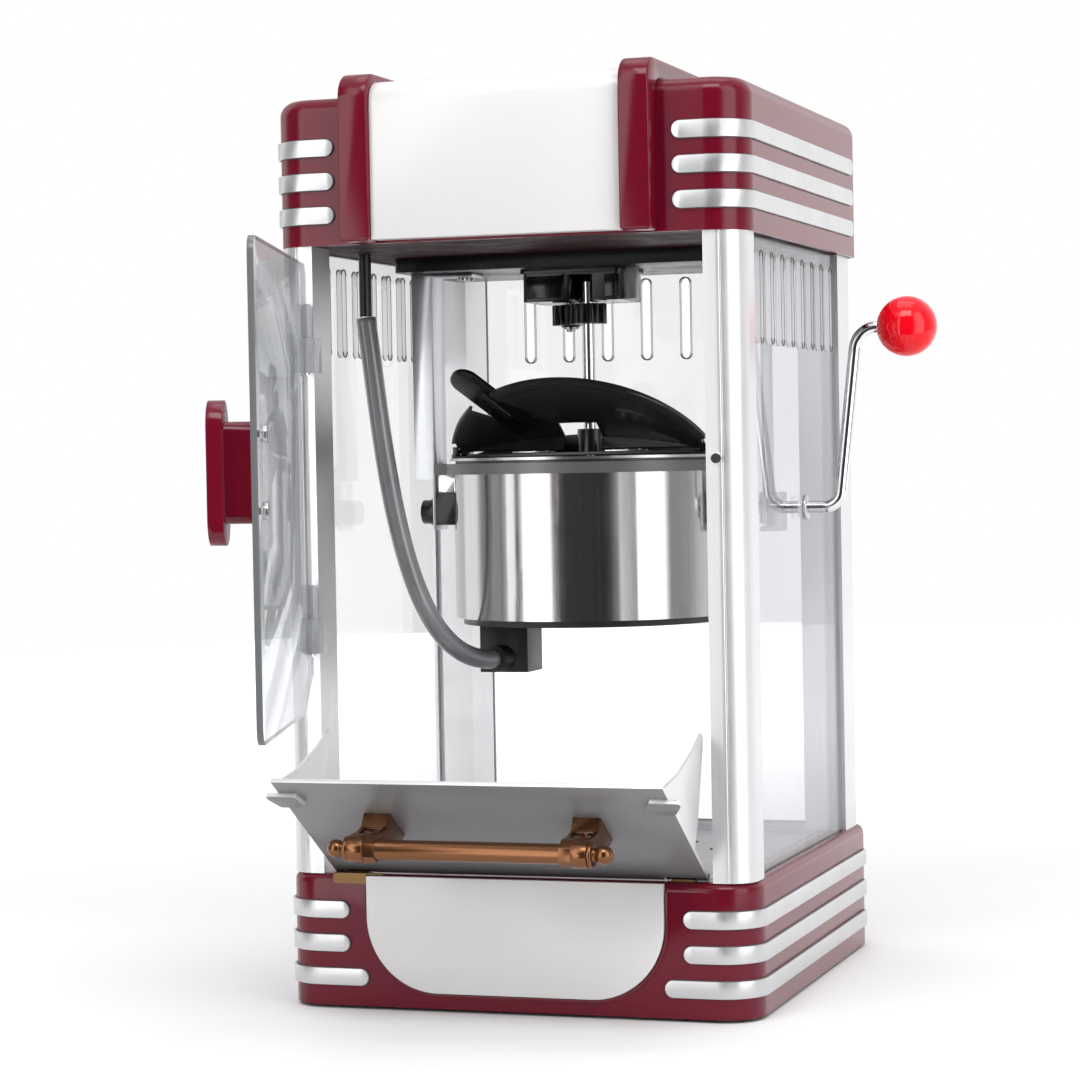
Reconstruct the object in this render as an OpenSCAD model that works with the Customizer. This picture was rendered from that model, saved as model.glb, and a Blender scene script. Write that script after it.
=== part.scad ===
// Counter-top popcorn maker: glazed cabinet on a base, top housing with a gear
// motor, tilting kettle with hinged lid, swing door and tilt-out front tray.
// Millimetres. X to the right, Y to the back, Z up. Origin at the centre of the
// cabinet plan, on the surface the feet stand on.

/* [Body] */
// Body width
body_w = 247; // [240:1:252]
// Body depth
body_d = 265; // [260:1:270]
// Plan corner radius of base and housing
corner_r = 20; // [18:1:22]
// Wall thickness of base and housing
wall_t = 2.5; // [2:0.5:3.5]

/* [Trim] */
// Height of each wrap-around strip
strip_h = 8.4; // [6:0.2:10]
// How far the strips stand proud
strip_out = 1.5; // [0.8:0.1:2]

/* [Kettle] */
// Kettle jacket radius
kettle_r = 74; // [70:0.5:75]
// Lid flap angle at rest
lid_rest = 38.5; // [0:0.5:60]

/* [Door and tray] */
// Door angle at rest
door_rest = 73.6; // [0:0.2:100]
// Tray angle at rest
tray_rest = 56.3; // [0:0.1:56.3]

/* [Crank] */
// Crank rod diameter
rod_d = 6.5; // [5.5:0.5:7]
// Ball knob diameter
ball_d = 31.4; // [26:0.2:36]

/* [Hidden] */
hw = body_w/2;
hd = body_d/2;
base_z = 68;      // top of the base
cab_z = 385.5;    // underside of the top housing
cap_z = 460;      // top of the housing
rib_z = 470;      // top of the ribs
ky = 10;          // kettle axis, y
kz = 248.3;       // tilt axis, z
lid_z = 277.6;    // seating plane of the lid
lid_r = 75;
lid_hy = -4;      // lid hinge axis
lid_hz = 281;
door_x = -104;    // door hinge axis
door_y = -137;
door_w = 214;
tray_y = -123;    // tray hinge axis
tray_z = 70.2;
drv_x = -13.8;    // drive shaft
drv_y = ky + 12.2;
f1 = 96;          // facets of large rounds
f2 = 48;          // facets of small rounds
eps = 0.01;

// ---------------------------------------------------------------- helpers
module rr(w, d, r) {            // rounded rectangle, exact
  square([w, d - 2*r], center = true);
  square([w - 2*r, d], center = true);
  for (x = [-1, 1], y = [-1, 1])
    translate([x*(w/2 - r), y*(d/2 - r)]) circle(r, $fn = f1);
}
module slab(w, d, r, z0, z1) { translate([0, 0, z0]) linear_extrude(z1 - z0) rr(w, d, r); }
module sect(l, z0, z1, f) {     // section with both top corners rounded
  translate([-l/2, z0]) square([l, z1 - z0 - f]);
  translate([-l/2 + f, z0]) square([l - 2*f, z1 - z0]);
  for (s = [-1, 1]) translate([s*(l/2 - f), z1 - f]) circle(f, $fn = f1);
}
module crown(w, d, r, z0, z1, f) {  // rounded plan, rounded top edge, exact
  rotate([90, 0, 0]) translate([0, 0, -(d/2 - r)]) linear_extrude(d - 2*r) sect(w, z0, z1, f);
  rotate([90, 0, 90]) translate([0, 0, -(w/2 - r)]) linear_extrude(w - 2*r) sect(d, z0, z1, f);
  for (x = [-1, 1], y = [-1, 1]) translate([x*(w/2 - r), y*(d/2 - r), 0])
    rotate_extrude($fn = f1) {
      translate([0, z0]) square([r, z1 - z0 - f]);
      translate([0, z0]) square([r - f, z1 - z0]);
      translate([r - f, z1 - f]) circle(f, $fn = f1);
    }
}
module box(a, b) { translate(a) cube(b - a); }
module zcyl(x, y, r, z0, z1) { translate([x, y, z0]) cylinder(r = r, h = z1 - z0, $fn = f2); }
module xcyl(x0, x1, y, z, r) { translate([x0, y, z]) rotate([0, 90, 0]) cylinder(r = r, h = x1 - x0, $fn = f2); }
module ycyl(x, y0, y1, z, r) { translate([x, y0, z]) rotate([-90, 0, 0]) cylinder(r = r, h = y1 - y0, $fn = f2); }
module mx(s) { scale([1, 1, 1]) if (s > 0) children(); else mirror([1, 0, 0]) children(); }
module screw(len, r = 1.5, hr = 3.2) {   // pan head, point towards -Z
  translate([0, 0, -len]) cylinder(r = r, h = len + eps, $fn = f2);
  difference() {
    cylinder(r = hr, h = 2, $fn = f2);
    for (a = [0, 90]) rotate(a) translate([-hr*0.62, -0.4, 1]) cube([hr*1.24, 0.8, 2]);
  }
}
module strip(z, xt, yt) {       // one wrap-around strip, right-hand side
  h = strip_h/2;
  difference() {
    intersection() {
      slab(body_w + 2*strip_out, body_d + 2*strip_out, corner_r + strip_out, z - h, z + h);
      union() {
        box([xt, -hd - 5, z - h], [hw + 5, 0, z + h]);
        box([0, -1, z - h], [hw + 5, yt, z + h]);
        ycyl(xt, -hd - 5, 0, z, h);
        xcyl(0, hw + 5, yt, z, h);
      }
    }
    slab(body_w, body_d, corner_r, z - h - 1, z + h + 1);
  }
}

// ------------------------------------------------------------------- base
module base_shell() color([0.42, 0.03, 0.10]) difference() {
  union() {
    crown(body_w, body_d, corner_r, 1.5, base_z, 4.5);
    // raised bead round the front panel
    translate([0, -hd + 1, 0]) rotate([90, 0, 0]) linear_extrude(1.9) intersection() {
      u_plate(159.8, 7.4, 90, 39.6);
      translate([-100, 0]) square([200, base_z - 4.5]);
    }
  }
  difference() {
    slab(body_w - 2*wall_t, body_d - 2*wall_t, corner_r - wall_t, 1, base_z - 3);
    for (x = [-1, 1], y = [-1, 1]) zcyl(x*98, y*104, 5, 4.5, base_z);
  }
  box([-104, -112, base_z - 6], [104, 112, base_z + 1]);   // floor opening
  for (x = [-1, 1], y = [-1, 1]) zcyl(x*98, y*104, 1.5, 3, 12);
  // seat of the front panel
  translate([0, -hd + 0.8, 0]) rotate([90, 0, 0]) linear_extrude(2) u_plate(156.6, 9, 90, 38);
}
module u_plate(w, z0, z1, r) {  // front panel outline in X-Z, round bottom corners
  translate([-w/2, z0 + r]) square([w, z1 - z0 - r]);
  translate([-w/2 + r, z0]) square([w - 2*r, z1 - z0]);
  for (s = [-1, 1]) translate([s*(w/2 - r), z0 + r]) circle(r, $fn = f1);
}
module base_front_panel() color([0.93, 0.92, 0.90])
  // one raised plate, seated in the base with a narrow gap all round
  translate([0, -hd + 0.8, 0]) rotate([90, 0, 0]) linear_extrude(3) intersection() {
    u_plate(155.4, 9.6, 90, 37.4);
    translate([-100, 0]) square([200, base_z - 0.3]);
  }
module base_trim() color([0.72, 0.72, 0.74]) {
  for (s = [1, -1]) mx(s) {
    strip(50.2, 91.8, 112.5);
    strip(33.2, 91.8, 112.5);
    strip(16.2, 82, 112.5);
  }
}
module base_bottom_cover() color([0.12, 0.12, 0.13]) difference() {
  slab(body_w - 2*wall_t - 0.6, body_d - 2*wall_t - 0.6, corner_r - wall_t - 0.3, 2, 4.5);
  for (x = [-1, 1], y = [-1, 1]) {
    zcyl(x*98, y*104, 1.6, 1, 6);
    zcyl(x*84, y*96, 3.5, 1, 6);
  }
  for (i = [-4:4]) box([i*12 - 2, -30, 1], [i*12 + 2, 30, 6]);
}
module case_screws() color([0.55, 0.55, 0.57]) {
  for (x = [-1, 1], y = [-1, 1]) translate([x*98, y*104, 2]) rotate([180, 0, 0]) screw(8, 1.5, 3);
  // hanger screws under the ceiling pan
  for (x = [-70, 70], y = [7, 15]) translate([x < 0 ? x : x + 4, y, 376]) rotate([180, 0, 0]) screw(6, 1.5, 3);
  // back of the housing
  for (x = [-1, 1], z = [396, 430]) translate([x*100, hd, z]) rotate([-90, 0, 0]) screw(2.4, 1.5, 3);
}
module rubber_feet() color([0.06, 0.06, 0.06])
  for (x = [-1, 1], y = [-1, 1]) {
    zcyl(x*84, y*96, 9, 0, 2);
    zcyl(x*84, y*96, 3.5, 1.9, 4.5);
    zcyl(x*84, y*96, 5, 4.5, 6);
  }
module cabinet_floor() color([0.62, 0.63, 0.65]) difference() {
  union() {
    box([-103.8, -111.8, base_z - 6], [103.8, 111.8, base_z - 4.5]);
    difference() {
      box([-103.8, -111.8, base_z - 6], [103.8, 111.8, base_z]);
      box([-102.6, -110.6, base_z - 7], [102.6, 110.6, base_z + 1]);
    }
  }
  for (i = [-3:3]) for (j = [-1, 1]) translate([i*20, j*45, base_z - 7]) linear_extrude(4) {
    square([6, 30], center = true);
    for (k = [-1, 1]) translate([0, k*15]) circle(3, $fn = f2);
  }
}

// -------------------------------------------------------- cabinet uprights
module post2d(xo, xi, yo, yi, r) {  // corner upright, outer corner towards +x -y
  difference() {
    union() {
      translate([xi, yo + r]) square([xo - xi, yi - yo - r]);
      translate([xi, yo]) square([xo - r - xi, yi - yo]);
      intersection() {
        translate([xo - r, yo + r]) circle(r, $fn = f1);
        translate([xo - r, yo]) square([r, r]);
      }
      translate([xo - r, yo + r]) square([r, yi - yo - r]);
    }
    // hollow core
    translate([xi + 2.2, yo + 2.2]) square([xo - r - xi - 2.2, yi - yo - 4.4]);
    // decorative groove at the end of the flat face
    translate([xo - r + 2.6, yo - 0.1]) circle(0.9, $fn = f2);
  }
}
module posts_front() color([0.80, 0.80, 0.82]) for (s = [1, -1]) mx(s) difference() {
  translate([0, 0, base_z]) linear_extrude(cab_z - base_z) post2d(121.8, 102, -130.5, -107, 14);
  box([114.85, -110.5, base_z - 1], [118.15, -106, cab_z + 1]);   // glazing groove
  if (s > 0) ycyl(107.2, -131, -126.5, 274.9, 2.2);
  if (s < 0) for (z = [330.4, 188.8]) ycyl(104.3, -131, -126, z, 1.5);
}
module posts_rear() color([0.76, 0.76, 0.78]) for (s = [1, -1]) mx(s) difference() {
  translate([0, 0, base_z]) mirror([0, 1, 0]) linear_extrude(cab_z - base_z) post2d(120, 97, -125.5, -86, 14);
  box([114.85, 85, base_z - 1], [118.15, 89.6, cab_z + 1]);
  box([96, 120.85, base_z - 1], [99.6, 124.15, cab_z + 1]);
}
module slots(n, pitch, c) { for (i = [0:n - 1]) translate([c + pitch*(i - (n - 1)/2), 355.2]) {
    square([6, 40.4], center = true);
    for (k = [-1, 1]) translate([0, k*20.2]) circle(3, $fn = f2);
  } }
module side_glass(y0, y1, hole) rotate([90, 0, 90]) linear_extrude(3) difference() {
  translate([y0, base_z]) square([y1 - y0, cab_z - base_z]);
  slots(8, 22.1, 0);
  if (hole) translate([ky, kz]) circle(5.2, $fn = f2);
}
module window_left() color([0.9, 0.93, 0.95, 0.4]) translate([-118, 0, 0]) side_glass(-110, 89.2, false);
module window_right() color([0.9, 0.93, 0.95, 0.4]) translate([115, 0, 0]) side_glass(-110, 89.2, true);
module window_rear() color([0.95, 0.95, 0.95, 0.6]) translate([0, 124, 0]) rotate([90, 0, 0]) linear_extrude(3) difference() {
  translate([-99.2, base_z]) square([198.4, cab_z - base_z]);
  slots(7, 23.4, 0);
}
module door_catch() color([0.25, 0.25, 0.27]) ycyl(107.2, -131.2, -126.8, 274.9, 2.2);
module door_hinge_blocks() color([0.85, 0.88, 0.9, 0.6]) for (z = [321.8, 180.2]) {
  difference() {
    union() {
      box([-110.5, -136, z], [-97.8, -130.5, z + 17.2]);
      zcyl(door_x, door_y, 4, z, z + 17.2);
      box([-108, -137, z], [-100, -135, z + 17.2]);
    }
    zcyl(door_x, door_y, 1.5, z - 1, z + 18);
  }
  ycyl(-104.3, -130.6, -127.2, z + 8.6, 1.5);
}
module door_hinge_pins() color([0.7, 0.7, 0.72]) for (z = [321.8, 180.2]) {
  zcyl(door_x, door_y, 1.5, z, z + 34.4);
  zcyl(door_x, door_y, 2.3, z - 1, z);
}

// ------------------------------------------------------------- top housing
module top_shell() color([0.42, 0.03, 0.10]) difference() {
  crown(body_w, body_d, corner_r, cab_z, cap_z, 8);
  crown(body_w - 2*wall_t, body_d - 2*wall_t, corner_r - wall_t, cab_z - 1, cap_z - wall_t, 8 - wall_t);
  box([-82, hd - 3, 411], [-58, hd + 1, 429]);    // rear switch opening
  ycyl(70, hd - 3, hd + 1, 420, 6.5);              // lead-in opening
  for (x = [-1, 1], z = [396, 430]) ycyl(x*100, hd - 3, hd + 1, z, 1.5);
  for (i = [-3:3]) box([i*9 - 2, hd - 3, 400], [i*9 + 2, hd + 1, 430]);
}
module saddle(yf, zt, r, yb, zb, zl) {   // side outline over front, roof and back
  translate([yf, zl]) square([yb - yf, zb - zl]);
  translate([yf, zl]) square([yb - yf, zt - r - zl]);
  translate([yf + r, zl]) square([yb - yf - 2*r, zt - zl]);
  translate([yf + r, zt - r]) circle(r, $fn = f1);
  translate([yb - r, zt - r]) circle(r, $fn = f1);
}
module roof_panel() color([0.93, 0.92, 0.90]) translate([-65, 0, 0]) rotate([90, 0, 90]) linear_extrude(130) difference() {
  saddle(-143, 465.8, 11, 134.5, 420, 386.8);
  saddle(-140.4, 463.2, 8.4, hd, 420, 389.4);
  translate([-hd, 380]) square([300, 60]);
}
module roof_ribs() color([0.42, 0.03, 0.10]) for (s = [1, -1]) mx(s) translate([65.02, 0, 0]) rotate([90, 0, 90]) linear_extrude(15.4) difference() {
  saddle(-146.2, rib_z, 12, 136, 420, 386);
  difference() {
    translate([-hd, 380]) square([body_d, 80]);
    translate([-hd, cap_z - 8]) square([8, 9]);
    translate([hd - 8, cap_z - 8]) square([8, 9]);
  }
  translate([-hd + 8, cap_z - 8]) circle(8, $fn = f1);
  translate([hd - 8, cap_z - 8]) circle(8, $fn = f1);
  translate([hd - 0.01, 380]) square([10, 60]);
}
module top_trim() color([0.72, 0.72, 0.74]) for (s = [1, -1]) mx(s)
  for (z = [434.5, 417.6, 400.6]) strip(z, 92.5, 103);
module housing_base() color([0.30, 0.03, 0.08]) difference() {
  slab(body_w - 2*wall_t - 0.4, body_d - 2*wall_t - 0.4, corner_r - wall_t - 0.2, cab_z, cab_z + 2);
  zcyl(drv_x, drv_y, 5, cab_z - 1, cab_z + 3);
  zcyl(-101, -60, 3.3, cab_z - 1, cab_z + 3);
}
module ceiling_pan() color([0.05, 0.05, 0.055]) difference() {
  translate([0, 32.6, 0]) slab(202, 105.2, 6, 378, cab_z);
  translate([0, 32.6, 0]) slab(198, 101.2, 4, 380, cab_z + 1);
  zcyl(drv_x, drv_y, 5, 370, cab_z);
  for (x = [-70, 74], y = [7, 15]) zcyl(x, y, 1.5, 377, 381);
}
module gear_motor() color([0.65, 0.65, 0.66]) difference() {
  union() {
    zcyl(drv_x + 8, drv_y, 30, cab_z + 2, 398);
    zcyl(drv_x + 8, drv_y, 26, 397.9, 430);
    zcyl(drv_x + 8, drv_y, 6, 429.9, 434);
    for (s = [-1, 1]) box([drv_x + 8 - 5, drv_y + s*34 - 6, cab_z + 2], [drv_x + 8 + 5, drv_y + s*34 + 6, cab_z + 4]);
  }
  zcyl(drv_x, drv_y, 2.56, cab_z, 396);
}
module gearbox_housing() color([0.05, 0.05, 0.055]) difference() {
  union() {
    translate([-5.5, 18, 0]) slab(55, 42, 3, 360.5, 375.5);
    translate([-5.5, 18, 0]) slab(58, 45, 4, 375.5, 378);
  }
  box([-6.5, -6, 359], [6.5, ky + 1, 374.5]);
  zcyl(0, ky + 1, 6.5, 359, 374.5);
  zcyl(drv_x, drv_y, 2.56, 359, 379);
  translate([-20.5, -4.1, 0]) box([-9.5, 0, 363.5], [9.5, 1.6, 373.5]);
}
module switch_bezel() color([0.05, 0.05, 0.05]) difference() {
  union() {
    box([-84, hd, 409], [-56, hd + 2, 431]);
    box([-81.9, hd - 10, 411.1], [-58.1, hd + 0.1, 428.9]);
  }
  box([-79, hd - 8, 413], [-61, hd + 3, 427]);
  xcyl(-80.6, -59.4, hd - 3, 420, 1.26);
}
module power_switch() color([0.10, 0.10, 0.10]) {
 xcyl(-80.3, -59.7, hd - 3, 420, 1.2);
 intersection() {
  translate([0, hd - 3, 420]) rotate([-5, 0, 0]) difference() {
    union() {
      box([-78, -2.6, -6], [-62, 4.6, 6]);
      xcyl(-78, -62, 0, 0, 2.6);
    }
    translate([-90, 12.6, 0]) rotate([0, 90, 0]) cylinder(r = 9.4, h = 40, $fn = f1);
  }
  box([-79, hd - 8, 413.2], [-61, hd + 5, 426.8]);
 }
}
module cord_gland() color([0.05, 0.05, 0.05]) difference() {
  union() {
    ycyl(70, hd - 5, hd + 0.1, 420, 6.4);
    ycyl(70, hd, hd + 3, 420, 8.5);
    ycyl(70, hd - 7, hd - wall_t, 420, 8.5);
  }
  ycyl(70, hd - 8, hd + 4, 420, 3.6);
}

// ----------------------------------------------------- hangers and pivots
module hanger_left() color([0.72, 0.73, 0.75]) difference() {
  union() {
    box([-88, 1, 238.5], [-86, 19.5, 378]);
    box([-98, 1, 266], [-87, 3, 378]);
    box([-98, 1, 376], [-62.8, 19.5, 378]);
  }
  xcyl(-90, -84, ky, kz, 3);
  for (y = [7, 15]) zcyl(-70, y, 1.5, 370, 379);
}
module hanger_right() color([0.72, 0.73, 0.75]) difference() {
  union() {
    box([97, 1, 238.5], [99, 19.5, 378]);
    box([66, 1, 376], [99, 19.5, 378]);
  }
  xcyl(96, 100, ky, kz, 4.2);
  for (y = [7, 15]) zcyl(74, y, 1.5, 370, 379);
}
module hanger_bush() color([0.85, 0.87, 0.9, 0.6]) difference() {
  union() {
    box([99, 2, 240.2], [106, 18, 256.5]);
    box([95, 2, 240.2], [97, 18, 256.5]);
    xcyl(96.9, 99.1, ky, kz, 4.2);
    box([95, 2, 236], [106, 18, 238.4]);
    box([99.1, 2, 238.3], [106, 18, 240.3]);
  }
  xcyl(90, 110, ky, kz, rod_d/2 + 0.06);
}
module pivot_pin() color([0.05, 0.05, 0.05]) {
  xcyl(-88.1, -77, ky, kz, 3);
  xcyl(-91, -88, ky, kz, 7.4);
  xcyl(-96, -91, ky, kz, 6.6);
}

// ------------------------------------------------------------- inner lead
P0 = [-101, -60, 352]; P1 = [-91, -61, 281.2]; P2 = [-77.1, -83.4, 169.1]; P3 = [-49.8, -11.4, 169.1];
function bez(s) = P0*pow(1 - s, 3) + P1*3*s*pow(1 - s, 2) + P2*3*s*s*(1 - s) + P3*pow(s, 3);
function bdir(s) = bez(min(1, s + 0.01)) - bez(max(0, s - 0.01));
function unit(v) = v/norm(v);
module tube_along(r, n, m) {    // round cord that follows the route
  pts = [for (i = [0:n]) let (t = unit(bdir(i/n)), u = unit(cross(t, [0, 1, 0])), w = cross(t, u))
    for (j = [0:m - 1]) bez(i/n) + r*(cos(360*j/m)*u + sin(360*j/m)*w)];
  polyhedron(pts, concat(
    [[for (j = [m - 1:-1:0]) j]], [[for (j = [0:m - 1]) n*m + j]],
    [for (i = [0:n - 1], j = [0:m - 1]) let (a = i*m + j, b = i*m + (j + 1)%m) [a, b, b + m]],
    [for (i = [0:n - 1], j = [0:m - 1]) let (a = i*m + j, b = i*m + (j + 1)%m) [a, b + m, a + m]]));
}
module kettle_lead() color([0.05, 0.05, 0.05]) zcyl(-101, -60, 3.25, 352.9, 396);
module lead_sleeve() color([0.45, 0.46, 0.48]) tube_along(5.2, 24, 16);

// ------------------------------------------------------------------ drive
module gear2d(ph) {
  n = 14; 
  polygon([for (i = [0:n - 1], k = [[7.6, -1.25], [9.1, -0.85], [10, -0.42], [10, 0.42], [9.1, 0.85], [7.6, 1.25]])
    let (a = ph + 360/n*i) [k[0]*cos(a) - k[1]*sin(a), k[0]*sin(a) + k[1]*cos(a)]]);
}
mesh_a = atan2(drv_y - ky, drv_x);
module drive_shaft() color([0.7, 0.7, 0.72]) {
  zcyl(drv_x, drv_y, 2.5, 345, 395);
  zcyl(drv_x, drv_y, 4.4, 346.4, 347.4);
}
module drive_gear() color([0.08, 0.08, 0.08]) translate([drv_x, drv_y, 0]) difference() {
  union() {
    translate([0, 0, 348.5]) linear_extrude(10.8) gear2d(mesh_a + 180 + 180/14);
    translate([0, 0, 347.4]) cylinder(r = 5, h = 12.4, $fn = f2);
  }
  translate([0, 0, 340]) cylinder(r = 2.5, h = 30, $fn = f2);
}
module stir_gear() color([0.08, 0.08, 0.08]) translate([0, ky, 0]) difference() {
  translate([0, 0, 348.5]) linear_extrude(10.8) gear2d(mesh_a);
  translate([0, 0, 340]) cylinder(r = 3.5, h = 30, $fn = f2);
}
module stir_shaft() color([0.75, 0.75, 0.77]) zcyl(0, ky, 3.5, 200.4, 371);
module stir_blade() color([0.75, 0.75, 0.77]) difference() {
  translate([0, ky, 0]) union() {
    cylinder(r = 6.5, h = 216, $fn = f2);
    for (a = [0, 180]) rotate(a + 20) {
      translate([5, -0.8, 201.6]) cube([50, 1.6, 7]);
      translate([52, -0.8, 205]) rotate([0, 0, 35]) cube([9, 1.6, 7]);
    }
  }
  zcyl(0, ky, 3.5, -1, 230);
  zcyl(0, ky, 20, -1, 201.6);
}

// ----------------------------------------------------------------- kettle
module kcyl(r, z0, z1) { translate([0, ky, z0]) cylinder(r = r, h = z1 - z0, $fn = f1); }
module kettle_shell() color([0.72, 0.71, 0.70]) difference() {
  kcyl(kettle_r, 192, 268.7);
  kcyl(kettle_r - 1.2, 191, 269.7);
}
module kettle_pot() color([0.80, 0.80, 0.80]) {
  difference() {
    union() { kcyl(66, 199, 277); kcyl(76, 275.9, 277.3); }
    kcyl(64.8, 200.2, 280);
  }
}
module kettle_rim_plate() color([0.22, 0.22, 0.23]) difference() {
  union() {
    kcyl(78, 268.7, 274.4);
    box([-84.5, -6, 268.7], [84.5, 26, 274.4]);
    kcyl(73, 274.3, 275.9);
  }
  kcyl(66.05, 260, 280);
}
module kettle_base() color([0.07, 0.07, 0.07]) difference() {
  union() { kcyl(70, 188.5, 192); kcyl(72.7, 192, 194.5); }
  kcyl(60, 193, 200);
  for (a = [60, 300]) translate([55*cos(a), ky + 55*sin(a), 188]) cylinder(r = 3, h = 1.5, $fn = f2);
}
module kettle_brackets() color([0.78, 0.78, 0.78]) for (s = [1, -1]) mx(s) difference() {
  union() {
    box([74, 1, 258.5], [84.5, 19, 268.7]);
    box([64, 3, 258.5], [75, 17, 268.7]);
  }
  kcyl(kettle_r, 250, 270);
}
module kettle_pivot_blocks() color([0.06, 0.06, 0.06]) {
  difference() {
    box([-85.5, -1, 241.3], [-70, 21, 258.5]);
    kcyl(kettle_r, 230, 270);
    xcyl(-90, -76.5, ky, kz, 3.06);
  }
  difference() {
    box([70, -1, 241.3], [85.5, 21, 258.5]);
    kcyl(kettle_r, 230, 270);
    xcyl(77, 90, ky, kz, rod_d/2);
  }
}
module kettle_plug() color([0.06, 0.06, 0.06]) {
  box([-60, -5, 161.5], [-33, 20, 188.5]);
  translate([-49.73, -11.21, 169.1]) rotate([0, 90, 69.26]) cylinder(r = 7.2, h = 10, $fn = f2);
}
ra = 83.4;                       // angle of both crank bends
cr1 = 9; cr2 = 12;
c1x = 136.2; c2z = 341.8;
c2x = c1x + (c2z - kz)/tan(ra);
t1 = cr1*tan(ra/2); t2 = cr2*tan(ra/2);
module elbow(r, a) rotate([0, 0, -1.5]) rotate_extrude(angle = a + 3, $fn = f1) translate([r, 0]) circle(rod_d/2 - 0.03, $fn = f2);
module crank_rod() color([0.85, 0.85, 0.86]) {
  xcyl(77, c1x - t1, ky, kz, rod_d/2);
  translate([c1x - t1, ky, kz + cr1]) rotate([90, 0, 0]) rotate([0, 0, -90]) elbow(cr1, ra);
  translate([c1x + t1*cos(ra), ky, kz + t1*sin(ra)]) rotate([0, 90 - ra, 0])
    cylinder(r = rod_d/2, h = norm([c2x - c1x, c2z - kz]) - t1 - t2, $fn = f2);
  translate([c2x + t2, ky, c2z - cr2]) rotate([90, 0, 0]) rotate([0, 0, 90]) elbow(cr2, ra);
  xcyl(c2x + t2, 168, ky, c2z, rod_d/2);
}
module crank_ball() color([0.75, 0.02, 0.04])
  translate([173.5, ky, c2z]) rotate([0, 90, 0]) rotate_extrude($fn = f1) difference() {
    intersection() { circle(ball_d/2, $fn = f1); translate([0, -30]) square([30, 60]); }
    translate([-1, -30]) square([rod_d/2 + 1, 24.5]);
  }

// -------------------------------------------------------------------- lid
dome_h = 12;
dome_r = (lid_r*lid_r + dome_h*dome_h)/(2*dome_h);
module dome() intersection() {
  difference() {
    translate([0, ky, lid_z + dome_h - dome_r]) sphere(dome_r, $fn = 180);
    translate([0, ky, lid_z + dome_h - dome_r]) sphere(dome_r - 1.3, $fn = 180);
  }
  kcyl(lid_r, lid_z, lid_z + 20);
}
module crust() translate([0, ky, lid_z + dome_h - dome_r]) sphere(dome_r - 0.3, $fn = 180);
module lid_bridge() color([0.10, 0.10, 0.11]) difference() {
  union() {
    intersection() { kcyl(lid_r, lid_z, lid_z + 2); box([-80, -11, lid_z - 1], [80, 17, lid_z + 20]); }
    zcyl(0, ky, 7, lid_z + 1, 292);
    for (s = [-1, 1]) box([s*71 - 1.5, -8, 277.3], [s*71 + 1.5, 17, 283.5]);
    for (s = [-1, 1]) box([s*70 - 2.5, -10, 277.3], [s*70 + 2.5, 17, 278.4]);
  }
  zcyl(0, ky, 3.56, 270, 300);
  for (s = [-1, 1]) xcyl(s*71 - 3, s*71 + 3, lid_hy, lid_hz, 1.27);
  for (s = [-1, 1]) box([s*66.4 - 3.1, -12, 278.5], [s*66.4 + 3.1, lid_hy + 3.2, 300]);
}
module lid_rear() color([0.10, 0.10, 0.11]) {
  intersection() { dome(); box([-80, 17.3, lid_z], [80, 100, lid_z + 20]); }
  intersection() { crust(); kcyl(lid_r - 0.3, lid_z, 300); box([-80, 17.3, lid_z], [80, 18.5, 300]); }
  intersection() {
    difference() { kcyl(lid_r, 277.3, 279.5); kcyl(lid_r - 1.6, 270, 290); }
    box([-80, 17.3, 270], [80, 100, 290]);
  }
}
module lid_pose() translate([0, lid_hy, lid_hz]) rotate([-lid_rest, 0, 0]) translate([0, -lid_hy, -lid_hz]) children();
module lid_front() color([0.13, 0.13, 0.14]) lid_pose() difference() {
  union() {
    difference() {
      union() {
        intersection() { dome(); box([-80, -80, lid_z], [80, -5, lid_z + 20]); }
        intersection() { crust(); box([-68.2, -6.2, 280], [68.2, -5, 300]); }
      }
      for (s = [-1, 1]) box([s*78.4 - 10, -15, 270], [s*78.4 + 10, 0, 300]);
      box([-69, -11.4, 270], [69, 0, 279.7]);   // clear of the fixed bar
    }
    intersection() {
      difference() { kcyl(lid_r, 278, 280.5); kcyl(lid_r - 1.6, 270, 290); }
      box([-80, -80, 270], [80, -15, 290]);
    }
    for (s = [-1, 1]) {
      box([s*66.4 - 1.6, -16.5, 279.4], [s*66.4 + 1.6, lid_hy, 281.9]);
      xcyl(s*66.4 - 1.6, s*66.4 + 1.6, lid_hy, lid_hz, 2.2);
      xcyl(s > 0 ? 66.4 : -72, s > 0 ? 72 : -66.4, lid_hy, lid_hz, 1.2);
    }
  }
  box([-10.5, -20, 270], [10.5, 0, 300]);         // room for the shaft's boss
  handle_frame() {
    translate([52, -8.8, 270]) cube([30, 17.6, 20]);     // notch for the strip
    for (k = [-5, 5]) translate([47.5, k, 275]) cylinder(r = 1, h = 20, $fn = f2);
  }
}
module handle_frame() translate([0, ky, 0]) rotate(232.5) children();
module lid_handle() color([0.07, 0.07, 0.07]) lid_pose() handle_frame() {
  // strip that comes out through the notch in the flap
  translate([47, 0, 279.7]) rotate([0, -7, 0]) difference() {
    union() {
      box([-5, -8.5, 0], [38.3, 8.5, 2]);
      translate([38.3, 0, 0]) cylinder(r = 8.5, h = 2, $fn = f2);
    }
    box([-2, -1.1, -1], [28.2, 1.1, 3]);
  }
  for (k = [-5, 5]) {
    translate([47.5, k, 281]) cylinder(r = 1, h = 4.6, $fn = f2);
    translate([47.5, k, 285.3]) cylinder(r = 1.8, h = 0.6, $fn = f2);
  }
}

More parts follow.
